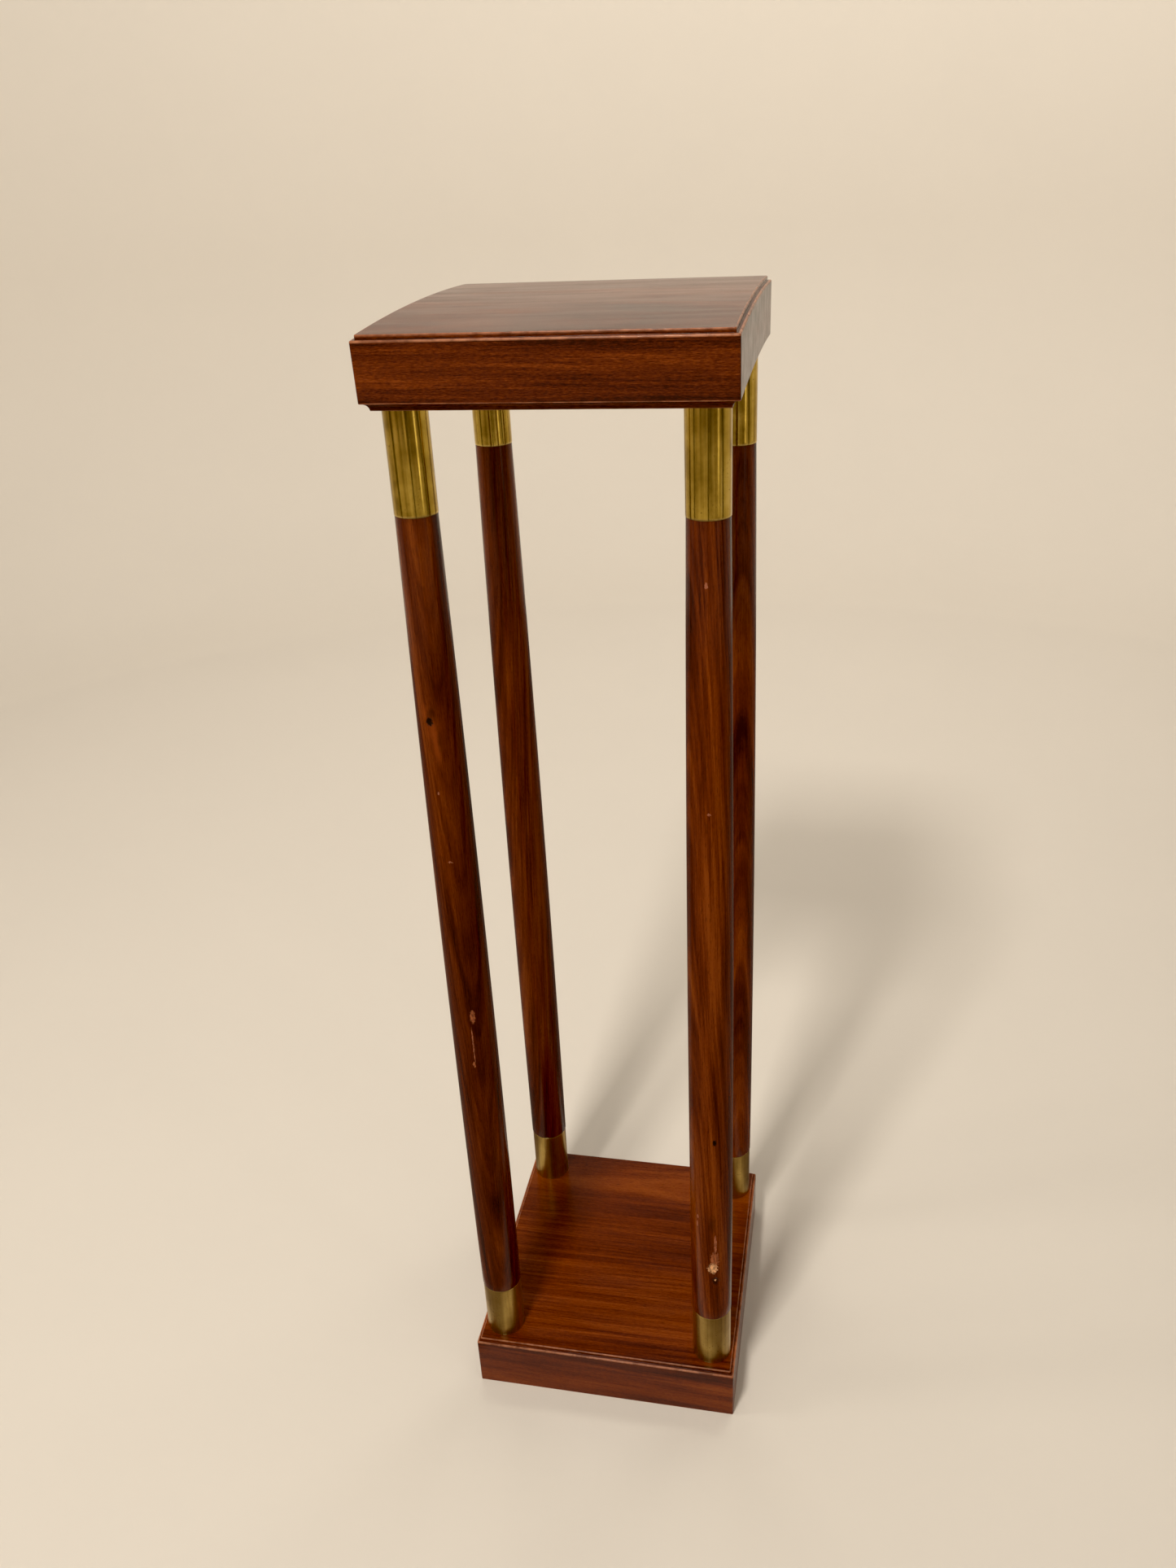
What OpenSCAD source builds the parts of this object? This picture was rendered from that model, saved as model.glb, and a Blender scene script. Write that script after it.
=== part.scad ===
// Four-post display pedestal: an arched hardwood top board on four swelled, tapered posts,
// standing on a square-edged base board, with a brass ferrule at each end of every post.
// X is the width, -Y is the front, +Z is up. The origin is the centre of the underside.
// Each post is turned down to carry its ferrules and ends in a tenon. The upper tenons are
// glued into blind mortises. A screw and washer under the base draw each lower tenon down.

/* [Overall] */
// Height from the floor to the crown of the top board
total_h = 1116; // [950:1:1300]
// Width of both boards, left to right
board_w = 280; // [260:1:330]
// Depth of both boards, front to back
board_d = 295; // [270:1:340]
// Spacing of the post centres, left to right
post_dx = 228; // [190:1:234]
// Spacing of the post centres, front to back
post_dy = 234; // [200:1:242]

/* [Boards] */
// Thickness of the base board
base_t = 63.5; // [56:0.5:80]
// Thickness of the top board
top_t = 55; // [46:0.5:70]
// Rise of the top board's arch over its full depth
arch_rise = 4.2; // [3:0.1:12]
// Width of the small step round the upper edge of both boards
step_w = 3.3; // [1.5:0.1:5]
// Height of the small step round the upper edge of both boards
step_h = 3.5; // [1.5:0.1:5]
// Radius of the cove round the lower edge of the top board
cove_r = 6.35; // [3:0.05:7]

/* [Posts] */
// Diameter of the wood just above the lower ferrule
post_bottom_dia = 41; // [40:0.1:46]
// Diameter of the wood just below the upper ferrule
post_top_dia = 34.2; // [33:0.1:34.8]
// How much the middle swells above a straight taper, on the diameter
post_swell = 3.6; // [0:0.1:6]

/* [Ferrules] */
// Outer diameter of the upper ferrules
upper_ferrule_dia = 35; // [34.9:0.1:38]
// Length of the upper ferrules
upper_ferrule_len = 85; // [60:1:110]
// Outer diameter of the lower ferrules
lower_ferrule_dia = 40; // [36:0.1:40.2]
// Length of the lower ferrules
lower_ferrule_len = 67.5; // [40:0.5:90]
// Wall thickness of the brass tube
ferrule_wall = 1.2; // [0.8:0.1:1.6]

/* [Joints] */
// Diameter of the post tenons
tenon_dia = 22; // [16:0.5:26]
// Length of the upper tenons
upper_tenon_len = 28; // [15:0.5:34]
// Length of the lower tenons
lower_tenon_len = 35; // [20:0.5:38]
// Shank diameter of the base screws
screw_dia = 6; // [4:0.5:8]
// Length of the base screws under the head
screw_len = 65; // [50:1:90]

/* [Hidden] */
$fn = 96;

WOOD = [0.36, 0.13, 0.06];
POST_WOOD = [0.32, 0.10, 0.05];
BRASS = [0.70, 0.58, 0.28];
STEEL = [0.62, 0.63, 0.65];

eps = 0.01;
// Clearance on the radius between a turned wooden end and what it sits in
glue_gap = 0.1;
// Shadow gap between a lower ferrule and the shoulder of the wood above it
shadow_gap = 0.5;
// Small chamfer on the shoulders of the posts
shoulder_ease = 0.6;
// Depth of the flat seat that an upper ferrule stands in, above the board's lower edge line
seat_depth = 3.3;
// Chamfer at the tip of a tenon
tenon_ease = 1.5;
// Extra depth of a mortise beyond its tenon
mortise_spare = 2;

// The arch: every surface of the top board is a cylinder about one axis along X
arch_r = (board_d * board_d / 4 + arch_rise * arch_rise) / (2 * arch_rise);
arch_z = total_h - arch_r;
ledge_r = arch_r - step_h;
under_r = arch_r - top_t;
end_angle = asin(board_d / 2 / ledge_r);
panel_angle = asin((board_d / 2 - step_w) / arch_r);
// Height of the underside along the front and back edges
under_edge_z = arch_z + under_r * cos(end_angle);
arch_fn = 1440;

// Levels along a post
seat_z = under_edge_z + seat_depth;
upper_rim_z = seat_z - upper_ferrule_len;
lower_rim_z = base_t + lower_ferrule_len;
wood_bottom_z = lower_rim_z + shadow_gap;
upper_core_r = upper_ferrule_dia / 2 - ferrule_wall - glue_gap;
lower_core_r = lower_ferrule_dia / 2 - ferrule_wall - glue_gap;
outline_steps = 28;

// Base screw, washer and counterbore
washer_dia = 18;
washer_t = 1.5;
head_dia = 12;
head_h = 3.6;
slot_w = 1.4;
slot_depth = 1.8;
counterbore_dia = 20;
counterbore_depth = 12;
head_face_z = counterbore_depth - washer_t;

// Radius of the wood at a fraction of the height between its shoulders, 0 at the bottom
function wood_r(f) = (post_bottom_dia * (1 - f) + post_top_dia * f + post_swell * 4 * f * (1 - f)) / 2;

// Puts its children at one post position, by the signs of x and y
module at_post(side, end) {
    translate([side * post_dx / 2, end * post_dy / 2, 0]) children();
}

// Puts its children at all four post positions
module at_posts() {
    for (side = [-1, 1]) {
        for (end = [-1, 1]) {
            at_post(side, end) children();
        }
    }
}

// A block centred on the Z axis
module block(width, depth, low, high) {
    translate([-width / 2, -depth / 2, low]) cube([width, depth, high - low]);
}

// A curved slab about the arch's axis, between two radii and two radial end faces
module arch_slab(width, inner_r, outer_r, half_angle) {
    reach = outer_r + 20;
    translate([-width / 2, 0, arch_z]) rotate([90, 0, 90]) linear_extrude(width) intersection() {
        difference() {
            circle(r = outer_r, $fn = arch_fn);
            circle(r = inner_r, $fn = arch_fn);
        }
        polygon([[0, 0], [reach * tan(half_angle), reach], [-reach * tan(half_angle), reach]]);
    }
}

// The cutter for the cove along the front or back lower edge of the top board
module end_cove(end) {
    translate([-board_w / 2 - 1, end * under_r * sin(end_angle), under_edge_z])
        rotate([0, 90, 0]) cylinder(r = cove_r, h = board_w + 2, $fn = 48);
}

// The cutter for the cove along the left or right lower edge, which follows the arch
module side_cove(side) {
    translate([side * board_w / 2, 0, arch_z]) rotate([0, 90, 0])
        rotate_extrude($fn = arch_fn) translate([under_r, 0]) circle(r = cove_r, $fn = 48);
}

module base_board() {
    color(WOOD) difference() {
        union() {
            block(board_w, board_d, 0, base_t - step_h);
            block(board_w - 2 * step_w, board_d - 2 * step_w, base_t - step_h - 1, base_t);
        }
        at_posts() {
            translate([0, 0, base_t - lower_tenon_len - mortise_spare])
                cylinder(d = tenon_dia + 2 * glue_gap, h = lower_tenon_len + mortise_spare + 1);
            translate([0, 0, -1]) cylinder(d = screw_dia + 0.6, h = base_t);
            translate([0, 0, -1]) cylinder(d = counterbore_dia, h = counterbore_depth + 1);
        }
    }
}

module top_board() {
    color(WOOD) difference() {
        union() {
            arch_slab(board_w, under_r, ledge_r, end_angle);
            arch_slab(board_w - 2 * step_w, ledge_r - 1, arch_r, panel_angle);
        }
        for (sign = [-1, 1]) {
            end_cove(sign);
            side_cove(sign);
        }
        at_posts() {
            translate([0, 0, seat_z - 20]) cylinder(d = upper_ferrule_dia + 2 * glue_gap, h = 20);
            translate([0, 0, seat_z - 1])
                cylinder(d = tenon_dia + 2 * glue_gap, h = upper_tenon_len + mortise_spare + 1);
        }
    }
}

// A post with its two ferrule seats and its two tenons, turned about Z
module post(side, end) {
    tenon_r = tenon_dia / 2;
    lower_tip_z = base_t - lower_tenon_len;
    upper_tip_z = seat_z + upper_tenon_len;
    wood_h = upper_rim_z - wood_bottom_z;
    outline = concat(
        [[0, lower_tip_z], [tenon_r - tenon_ease, lower_tip_z], [tenon_r, lower_tip_z + tenon_ease]],
        [[tenon_r, base_t], [lower_core_r, base_t], [lower_core_r, wood_bottom_z]],
        [[wood_r(0) - shoulder_ease, wood_bottom_z]],
        [for (i = [0 : outline_steps]) let (f = i / outline_steps)
            [wood_r(f), wood_bottom_z + shoulder_ease + f * (wood_h - shoulder_ease)]],
        [[upper_core_r, upper_rim_z], [upper_core_r, seat_z], [tenon_r, seat_z]],
        [[tenon_r, upper_tip_z - tenon_ease], [tenon_r - tenon_ease, upper_tip_z], [0, upper_tip_z]]
    );
    color(POST_WOOD) at_post(side, end) difference() {
        rotate_extrude() polygon(outline);
        translate([0, 0, lower_tip_z - 1])
            cylinder(d = screw_dia, h = head_face_z + washer_t + screw_len - lower_tip_z + 2);
    }
}

// A plain brass tube round one end of a post
module ferrule(side, end, dia, low, high) {
    color(BRASS) at_post(side, end) translate([0, 0, low]) difference() {
        cylinder(d = dia, h = high - low);
        translate([0, 0, -1]) cylinder(d = dia - 2 * ferrule_wall, h = high - low + 2);
    }
}

module upper_ferrule(side, end) {
    ferrule(side, end, upper_ferrule_dia, upper_rim_z, seat_z);
}

module lower_ferrule(side, end) {
    ferrule(side, end, lower_ferrule_dia, base_t, lower_rim_z);
}

// Slotted round-head wood screws, heads down in the counterbores
module base_screws() {
    point_h = 8;
    shank_h = washer_t + screw_len - point_h;
    color(STEEL) at_posts() translate([0, 0, head_face_z]) {
        difference() {
            translate([0, 0, -head_h]) cylinder(d = head_dia, h = head_h);
            translate([-head_dia, -slot_w / 2, -head_h - 1]) cube([2 * head_dia, slot_w, slot_depth + 1]);
        }
        translate([0, 0, -eps]) cylinder(d = screw_dia - 0.1, h = shank_h + eps);
        translate([0, 0, shank_h]) cylinder(d1 = screw_dia - 0.1, d2 = 1, h = point_h);
    }
}

module base_washers() {
    color(STEEL) at_posts() translate([0, 0, head_face_z]) difference() {
        cylinder(d = washer_dia, h = washer_t);
        translate([0, 0, -1]) cylinder(d = screw_dia + 0.4, h = washer_t + 2);
    }
}

base_board();
top_board();
post(-1, -1);  // post_front_left
post(1, -1);  // post_front_right
post(-1, 1);  // post_back_left
post(1, 1);  // post_back_right
upper_ferrule(-1, -1);  // upper_ferrule_front_left
upper_ferrule(1, -1);  // upper_ferrule_front_right
upper_ferrule(-1, 1);  // upper_ferrule_back_left
upper_ferrule(1, 1);  // upper_ferrule_back_right
lower_ferrule(-1, -1);  // lower_ferrule_front_left
lower_ferrule(1, -1);  // lower_ferrule_front_right
lower_ferrule(-1, 1);  // lower_ferrule_back_left
lower_ferrule(1, 1);  // lower_ferrule_back_right
base_screws();
base_washers();
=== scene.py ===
"""Four-post display pedestal: an arched mahogany top board on four swelled, tapered posts,
brass ferrules at both ends of every post, and a base board with a small step round its upper edge.

Metres; X is the width, -Y is the front, +Z is up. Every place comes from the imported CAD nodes,
and the few sizes below that a box cannot give repeat the CAD's own dimensions.
"""

import math
import random
from collections import namedtuple

import bmesh
import bpy
from mathutils import Matrix, Vector


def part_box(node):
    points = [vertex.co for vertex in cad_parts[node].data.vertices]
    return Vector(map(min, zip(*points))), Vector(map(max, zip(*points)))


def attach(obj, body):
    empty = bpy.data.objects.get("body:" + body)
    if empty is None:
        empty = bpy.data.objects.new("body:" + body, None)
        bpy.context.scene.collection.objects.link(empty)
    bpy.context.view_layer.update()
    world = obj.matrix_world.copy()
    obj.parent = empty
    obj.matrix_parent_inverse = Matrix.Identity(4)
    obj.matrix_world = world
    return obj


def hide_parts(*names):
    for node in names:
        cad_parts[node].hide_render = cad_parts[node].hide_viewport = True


MM = 0.001
HALF_TURN = math.pi
FULL_TURN = 2 * math.pi

# ---- Sizes repeated from the CAD, in metres ----
ARCH_RISE = 4.2 * MM
STEP_W = 3.3 * MM
STEP_H = 3.5 * MM
COVE_R = 6.35 * MM
TOP_T = 55 * MM
SHOULDER_EASE = 0.6 * MM
FERRULE_WALL = 1.2 * MM
GLUE_GAP = 0.1 * MM
SHADOW_GAP = 0.5 * MM
POST_BOTTOM_DIA = 41 * MM
POST_TOP_DIA = 34.2 * MM
POST_SWELL = 3.6 * MM
TENON_R = 11 * MM
TENON_EASE = 1.5 * MM
MORTISE_SPARE = 2 * MM
SCREW_DIA = 6 * MM
SCREW_LENGTH = 65 * MM
SCREW_POINT_H = 8 * MM
SCREW_HEAD_R = 6 * MM
SCREW_HEAD_H = 3.6 * MM
SCREW_SHANK_PLAY = 0.05 * MM
SCREW_HOLE_PLAY = 0.3 * MM
SLOT_W = 1.4 * MM
SLOT_DEPTH = 1.8 * MM
WASHER_R = 9 * MM
WASHER_PLAY = 0.2 * MM
COUNTERBORE_R = 10 * MM
COUNTERBORE_DEPTH = 12 * MM
SEAT_CUT_H = 20 * MM
CUT_SPARE = 1 * MM

# ---- Fine detail that only the visual model has ----
PANEL_ARRIS = 0.8 * MM
LEDGE_ARRIS = 1.2 * MM
LOWER_ARRIS = 0.8 * MM
COVE_ARRIS = 0.5 * MM
RECESS_FILLET = 0.3 * MM
CORNER_ROUND = 1.6 * MM
PANEL_CORNER_ROUND = 1.2 * MM
COVE_CORNER_ROUND = 0.5 * MM
RIM_EASE = 0.35 * MM
WASHER_EASE = 0.25 * MM
TUBE_WAVE = 0.012 * MM
# Distance over which rubbed edges, their painted highlight and the painted shade fade out.
WEAR_AND_LIGHT_FADE = 0.8 * MM

# ---- Mesh layout ----
CAP_MARGIN = 2 * MM
CUTTER_SIDES = 60
SEAT_SIDES = 64
POST_SIDES = 144
POST_STEPS = 72
FERRULE_SIDES = 128
FERRULE_STEPS = 36

# ---- Wear on the posts, and one painted glint ----
# Each mark is its kind, then its height above the floor in mm, its bearing round the post in degrees,
# and its half width, half height and depth in mm. The heights and bearings of most rows were worked
# out by a scratch program from sight lines through the photograph and rounded; the rest are by eye.
DENT_STEP = 0.7 * MM
MIN_RING_GAP = 0.3 * MM
Mark = namedtuple("Mark", "kind place turn radius width height depth")
POST_MARKS = {
    "front_left": [
        ("glow", 812, -106, 5, 10, 0),
        ("glow", 796, -92, 8, 15, 0),
        ("glow", 780, -84, 5, 20, 0),
        ("shade", 786, -76, 2.5, 14, 0),
        ("shade", 812, -93, 5, 7, 0),
        ("knot", 804, -97, 3.2, 4.2, 0.5),
        ("nick", 737, -94, 0.9, 1.6, 0),
        ("nick", 669, -82, 2.4, 0.7, 0),
        ("scuff", 500, -71, 2.4, 8, 0.25),
        ("scratch", 466, -77, 0.7, 22, 0),
        ("scuff", 443, -80, 1.4, 4, 0.2),
    ],
    "front_right": [
        ("nick", 926, -90, 1.2, 2.6, 0),
        ("nick", 730, -86, 2, 1, 0),
        ("knot", 374, -75, 1.8, 4, 0.3),
        ("nick", 274, -123, 0.9, 2.4, 0),
        ("nick", 264, -125, 0.8, 4, 0),
        ("shade", 268, -82, 5, 16, 0),
        ("scratch", 240, -73, 1.5, 13, 0.3),
        ("scuff", 218, -75, 4.6, 12, 0.6),
        ("bare_wood_and_glint", 206, -80, 5.2, 7, 0.9),
        ("bruise", 188, -72, 3.8, 6, 0.7),
        # A tiny pale patch inside the bruise: a painted glint on the dent.
        ("bare_wood_and_glint", 189, -73, 1.2, 2, 0),
    ],
}

SIDES = {"left": -1, "right": 1}
ENDS = {"front": -1, "back": 1}
POSTS = [f"{end}_{side}" for end in ENDS for side in SIDES]


# ---- Mesh helpers ----


def arc(count, start, stop):
    """Angles in radians from start to stop degrees, both included."""
    return [math.radians(start + (stop - start) * k / count) for k in range(count + 1)]


def make_object(name, bm, wear_and_painted_light=None, smooth_angle=35):
    """Turns a bmesh into a shaded object. The third argument holds a value per vertex: above 0 rubbed edges
    with a painted highlight, below 0 painted shade.
    """
    bmesh.ops.recalc_face_normals(bm, faces=bm.faces)
    mesh = bpy.data.meshes.new(name)
    bm.to_mesh(mesh)
    bm.free()
    if wear_and_painted_light is not None:
        layer = mesh.attributes.new("wear_and_painted_light", "FLOAT", "POINT")
        layer.data.foreach_set("value", wear_and_painted_light)
    for polygon in mesh.polygons:
        polygon.use_smooth = True
    mesh.set_sharp_from_angle(angle=math.radians(smooth_angle))
    piece = bpy.data.objects.new(name, mesh)
    bpy.context.scene.collection.objects.link(piece)
    return piece


def apply_modifiers(piece):
    """Replaces the object's mesh by its evaluated one."""
    graph = bpy.context.evaluated_depsgraph_get()
    mesh = bpy.data.meshes.new_from_object(piece.evaluated_get(graph))
    piece.modifiers.clear()
    old = piece.data
    piece.data = mesh
    bpy.data.meshes.remove(old)


def cut(piece, cutters):
    """Takes the cutters out of the piece and removes them."""
    for cutter in cutters:
        tool = piece.modifiers.new("cut", "BOOLEAN")
        tool.operation = "DIFFERENCE"
        tool.solver = "EXACT"
        tool.object = cutter
    apply_modifiers(piece)
    for cutter in cutters:
        mesh = cutter.data
        bpy.data.objects.remove(cutter)
        bpy.data.meshes.remove(mesh)


def weigh_normals(piece):
    """Keeps large flat faces flat beside their rounded arrises."""
    piece.modifiers.new("normals", "WEIGHTED_NORMAL").keep_sharp = True
    apply_modifiers(piece)


def lathe(name, profile, centre, segments=96, closed=False, wobble=None):
    """Turns a profile of (radius, height, edge value) about a vertical axis at centre; the edge value is
    rubbed wear with a painted highlight above 0 and painted shade below 0.
    """
    bm = bmesh.new()
    rings = []
    wear_and_painted_light = []
    for radius, height, rub_and_painted_light in profile:
        if radius <= 0:
            rings.append([bm.verts.new((centre.x, centre.y, height))] * segments)
            wear_and_painted_light.append(rub_and_painted_light)
            continue
        ring = []
        for k in range(segments):
            turn = FULL_TURN * k / segments
            reach = radius + (wobble(turn, height) if wobble else 0)
            ring.append(
                bm.verts.new((centre.x + reach * math.cos(turn), centre.y + reach * math.sin(turn), height))
            )
            wear_and_painted_light.append(rub_and_painted_light)
        rings.append(ring)
    pairs = list(zip(rings, rings[1:]))
    if closed:
        pairs.append((rings[-1], rings[0]))
    for low, high in pairs:
        for k in range(segments):
            following = (k + 1) % segments
            corners = [low[k], low[following], high[following], high[k]]
            bm.faces.new(list(dict.fromkeys(corners)))
    return make_object(name, bm, wear_and_painted_light)


# ---- Boards ----


def upper_arris(inset, height, ease, wear_and_painted_light=1.0):
    """Rounding from a level surface at height to a wall at inset below it: (inset, height, edge value), the
    value giving rubbed wear with a painted highlight on the rounding.
    """
    rounding = [
        (inset + ease * (1 - math.sin(t)), height - ease * (1 - math.cos(t)), wear_and_painted_light) for t in arc(4, 0, 90)
    ]
    return [(inset + ease + WEAR_AND_LIGHT_FADE, height, 0.0)] + rounding + [(inset, height - ease - WEAR_AND_LIGHT_FADE, 0.0)]


def lower_arris(inset, height, ease, wear_and_painted_light=0.8):
    """Rounding from a wall at inset to an underside at height."""
    rounding = [
        (inset + ease * (1 - math.cos(t)), height + ease * (1 - math.sin(t)), wear_and_painted_light) for t in arc(4, 0, 90)
    ]
    return [(inset, height + ease + WEAR_AND_LIGHT_FADE, 0.0)] + rounding + [(inset + ease + WEAR_AND_LIGHT_FADE, height, 0.0)]


def step_profile(height):
    """The panel arris, the riser, the recess and the ledge arris of a board whose top is at height."""
    ledge = height - STEP_H
    # The recess is set below 0: painted shade in the step's inner corner.
    recess = [
        (STEP_W - RECESS_FILLET * math.sin(t), ledge + RECESS_FILLET * (1 - math.sin(u)), -0.4)
        for t, u in ((0.0, 0.0), (math.pi / 6, math.pi / 4), (math.pi / 2, math.pi / 2))
    ]
    panel = upper_arris(STEP_W, height, PANEL_ARRIS, 0.7)
    # The lower point of the riser is set to 0.4, a painted highlight that lightens the riser.
    panel[-1] = (*panel[-1][:2], 0.4)
    return panel + recess + upper_arris(0, ledge, LEDGE_ARRIS)


def round_corner(inset):
    """Plan radius of a board's vertical corners at an inset from its faces."""
    if inset < LEDGE_ARRIS:
        return CORNER_ROUND
    return PANEL_CORNER_ROUND


class Board:
    """A board built from rounded rectangular rings, outer face by outer face, and two grid caps."""

    def __init__(self, half_width, half_depth, place, along_x=28, along_y=32, in_corner=5):
        self.half_width = half_width
        self.half_depth = half_depth
        self.place = place
        self.along_x = along_x
        self.along_y = along_y
        self.in_corner = in_corner
        self.bm = bmesh.new()
        self.wear_and_painted_light = []

    def vertex(self, x, y, height, wear_and_painted_light):
        self.wear_and_painted_light.append(wear_and_painted_light)
        return self.bm.verts.new(self.place(x, y, height))

    def outline(self, inset, corner):
        """Points of one rounded rectangle, and for each the grid point its cap joins it to."""
        a = self.half_width - inset
        b = self.half_depth - inset
        points = []
        turns = (
            (1, -1, self.along_x, 0),
            (1, 1, self.along_y, 90),
            (-1, 1, self.along_x, 180),
            (-1, -1, self.along_y, 270),
        )
        cell_x, cell_y = 0, 0
        for sx, sy, steps, start in turns:
            direction = (round(math.cos(math.radians(start))), round(math.sin(math.radians(start))))
            half = (a if direction[0] else b) - corner
            off = b if direction[0] else a
            for k in range(steps + 1):
                run = -half + 2 * half * k / steps
                x = run * direction[0] if direction[0] else off * sx
                y = run * direction[1] if direction[1] else off * sy
                points.append((x, y, cell_x + direction[0] * k, cell_y + direction[1] * k))
            cell_x += direction[0] * steps
            cell_y += direction[1] * steps
            middle_x, middle_y = sx * (a - corner), sy * (b - corner)
            for t in arc(self.in_corner, start - 90, start)[1:-1]:
                x = middle_x + corner * math.cos(t)
                y = middle_y + corner * math.sin(t)
                points.append((x, y, cell_x, cell_y))
        return points

    def ring(self, inset, height, wear_and_painted_light, corner):
        return [self.vertex(x, y, height, wear_and_painted_light) for x, y, _, _ in self.outline(inset, corner)]

    def bridge(self, first, second):
        count = len(first)
        for k in range(count):
            following = (k + 1) % count
            corners = [first[k], first[following], second[following], second[k]]
            self.bm.faces.new(list(dict.fromkeys(corners)))

    def cap(self, ring, inset, height):
        """Closes a ring with a rectangular grid a little in from it."""
        a = self.half_width - inset - CAP_MARGIN
        b = self.half_depth - inset - CAP_MARGIN
        grid = {}
        for i in range(self.along_x + 1):
            for j in range(self.along_y + 1):
                x = -a + 2 * a * i / self.along_x
                y = -b + 2 * b * j / self.along_y
                grid[i, j] = self.vertex(x, y, height, 0.0)
        joined = [grid[i, j] for _, _, i, j in self.outline(inset, CORNER_ROUND)]
        self.bridge(ring, joined)
        for i in range(self.along_x):
            for j in range(self.along_y):
                self.bm.faces.new((grid[i, j], grid[i + 1, j], grid[i + 1, j + 1], grid[i, j + 1]))

    def build(self, name, profile):
        """profile: (inset, height, edge value, corner radius) from the upper face round to the underside;
        the edge value is rubbed wear with a painted highlight above 0 and painted shade below 0.
        """
        rings = [self.ring(inset, height, wear_and_painted_light, corner) for inset, height, wear_and_painted_light, corner in profile]
        for first, second in zip(rings, rings[1:]):
            self.bridge(first, second)
        top_inset, top_height = profile[0][:2]
        low_inset, low_height = profile[-1][:2]
        self.cap(rings[0], top_inset, top_height)
        self.cap(rings[-1], low_inset, low_height)
        return make_object(name, self.bm, self.wear_and_painted_light, smooth_angle=40)


def post_centre(name):
    """The point on the floor under a post's axis."""
    low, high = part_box("lower_ferrule_" + name)
    return Vector(((low.x + high.x) / 2, (low.y + high.y) / 2, 0))


def base_cutter(name):
    """The mortise, the screw hole and the counterbore under one post, as one turned shape."""
    base_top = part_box("base_board")[1].z
    mortise_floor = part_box("post_" + name)[0].z - MORTISE_SPARE
    hole_r = SCREW_DIA / 2 + SCREW_HOLE_PLAY
    mortise_r = TENON_R + GLUE_GAP
    profile = [
        (0, -CUT_SPARE, 0),
        (COUNTERBORE_R, -CUT_SPARE, 0),
        # The counterbore's ceiling carries a value below 0: painted shade on the cut faces.
        (COUNTERBORE_R, COUNTERBORE_DEPTH, -1),
        (hole_r, COUNTERBORE_DEPTH, 0),
        (hole_r, mortise_floor, 0),
        (mortise_r, mortise_floor, 0),
        (mortise_r, base_top + CUT_SPARE, 0),
        (0, base_top + CUT_SPARE, 0),
    ]
    return lathe("cutter_" + name, profile, post_centre(name), CUTTER_SIDES)


def seat_cutter(name):
    """The flat seat for an upper ferrule and the mortise above it, as one turned shape."""
    low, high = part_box("upper_ferrule_" + name)
    seat_r = (high.x - low.x) / 2 + GLUE_GAP
    mortise_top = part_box("post_" + name)[1].z + MORTISE_SPARE
    mortise_r = TENON_R + GLUE_GAP
    profile = [
        (0, high.z - SEAT_CUT_H, 0),
        (seat_r, high.z - SEAT_CUT_H, 0),
        # The seat's ceiling carries a value below 0: painted shade round the ferrule's top.
        (seat_r, high.z, -1),
        (mortise_r, high.z, 0),
        (mortise_r, mortise_top, 0),
        (0, mortise_top, 0),
    ]
    return lathe("cutter_" + name, profile, post_centre(name), SEAT_SIDES)


def build_base_board():
    """The base board with the step round its upper edge and the holes under the posts."""
    low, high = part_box("base_board")
    half_width, half_depth = (high.x - low.x) / 2, (high.y - low.y) / 2
    board = Board(half_width, half_depth, lambda x, y, height: Vector((x, y, low.z + height)))
    profile = [(i, h, w, round_corner(i)) for i, h, w in step_profile(high.z - low.z)]
    profile += [(i, h, w, CORNER_ROUND) for i, h, w in lower_arris(0, 0, LOWER_ARRIS)]
    piece = board.build("wood_base_board", profile)
    cut(piece, [base_cutter(name) for name in POSTS])
    weigh_normals(piece)
    return piece


def cove_profile():
    """From the side wall, round the quarter cove, to the underside: (inset, height, edge value, corner);
    the arrises get rubbed wear with a painted highlight and the hollow gets painted shade.
    """
    start = math.degrees(math.asin(COVE_ARRIS / COVE_R))
    wall = [
        (COVE_ARRIS * (1 - math.cos(t)), COVE_R + COVE_ARRIS * (1 - math.sin(t)), 0.8, CORNER_ROUND)
        for t in arc(3, 0, 90)
    ]
    # The hollow of the cove is set below 0: painted shade under the board's edge.
    hollow = [
        (COVE_R * math.sin(t), COVE_R * math.cos(t), -0.3, COVE_CORNER_ROUND)
        for t in arc(8, start, 90 - start)
    ]
    foot = [
        (COVE_R + COVE_ARRIS * (1 - math.cos(t)), COVE_ARRIS * (1 - math.sin(t)), 0.6, COVE_CORNER_ROUND)
        for t in arc(3, 0, 90)
    ]
    above = [(0, COVE_R + COVE_ARRIS + WEAR_AND_LIGHT_FADE, 0.0, CORNER_ROUND)]
    below = [(COVE_R + COVE_ARRIS + WEAR_AND_LIGHT_FADE, 0, 0.0, COVE_CORNER_ROUND)]
    return above + wall + hollow[1:-1] + foot + below


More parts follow.
